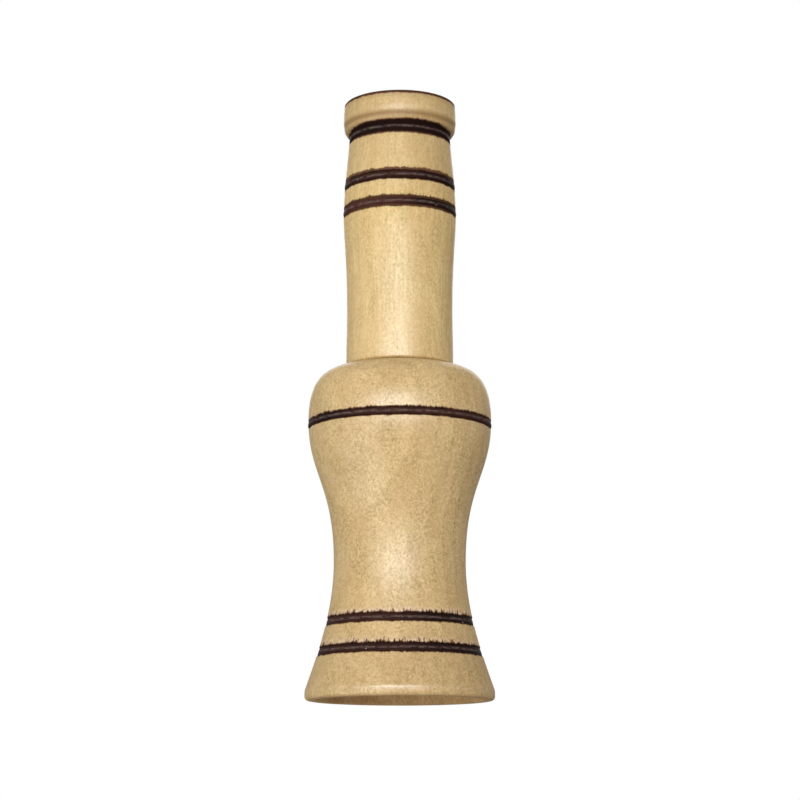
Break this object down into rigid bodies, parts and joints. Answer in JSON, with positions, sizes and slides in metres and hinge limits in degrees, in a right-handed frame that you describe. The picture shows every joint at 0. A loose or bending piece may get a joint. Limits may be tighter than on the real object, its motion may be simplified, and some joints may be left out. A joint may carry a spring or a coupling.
{
  "type": "fox call",
  "caption": "Turned wooden predator call: a flared bell with a bulb carries a reed unit, and a long lipped mouthpiece plugs over its tenon.",
  "frame": {"origin": "centre of the bell's rim, on the plane that it stands on", "axes": "+Z along the bore from the bell to the lip; the reed faces -Y"},
  "size_m": [0.04, 0.04, 0.13],
  "materials": {
    "bell_wood": "satin lacquer with burnt lines",
    "mouthpiece_wood": "satin lacquer with burnt lines",
    "tenon_rubber": "matte",
    "toneboard_plastic": "moulded",
    "plug_rubber": "matte",
    "reed_film": "smooth film",
    "wedge_cork": "cut cork"
  },
  "bodies": {
    "bell": {"bell": "bell_wood"},
    "tenon_rings": {"upper_o_ring": "tenon_rubber", "lower_o_ring": "tenon_rubber"},
    "mouthpiece": {"mouthpiece": "mouthpiece_wood"},
    "reed_unit": {"toneboard": "toneboard_plastic", "toneboard_o_ring": "plug_rubber", "wedge": "wedge_cork"},
    "reed": {"reed": "reed_film"}
  },
  "joints": [
    {"name": "mouthpiece_twist", "type": "hinge", "parent": "bell", "child": "tenon_rings", "pos_m": [0, 0, 0.0765], "axis": [0, 0, 1], "continuous": true},
    {"name": "mouthpiece_pull", "type": "slide", "parent": "tenon_rings", "child": "mouthpiece", "axis": [0, 0, 1], "range_m": [0, 0.05]},
    {"name": "reed_unit_pull", "type": "slide", "parent": "bell", "child": "reed_unit", "axis": [0, 0, 1], "range_m": [0, 0.03]},
    {"name": "reed_flex", "type": "hinge", "parent": "reed_unit", "child": "reed", "pos_m": [0, 0.00042, 0.093], "axis": [1, 0, 0], "range_deg": [-2, 2], "stiffness_Nm_per_rad": 0.016}
  ]
}
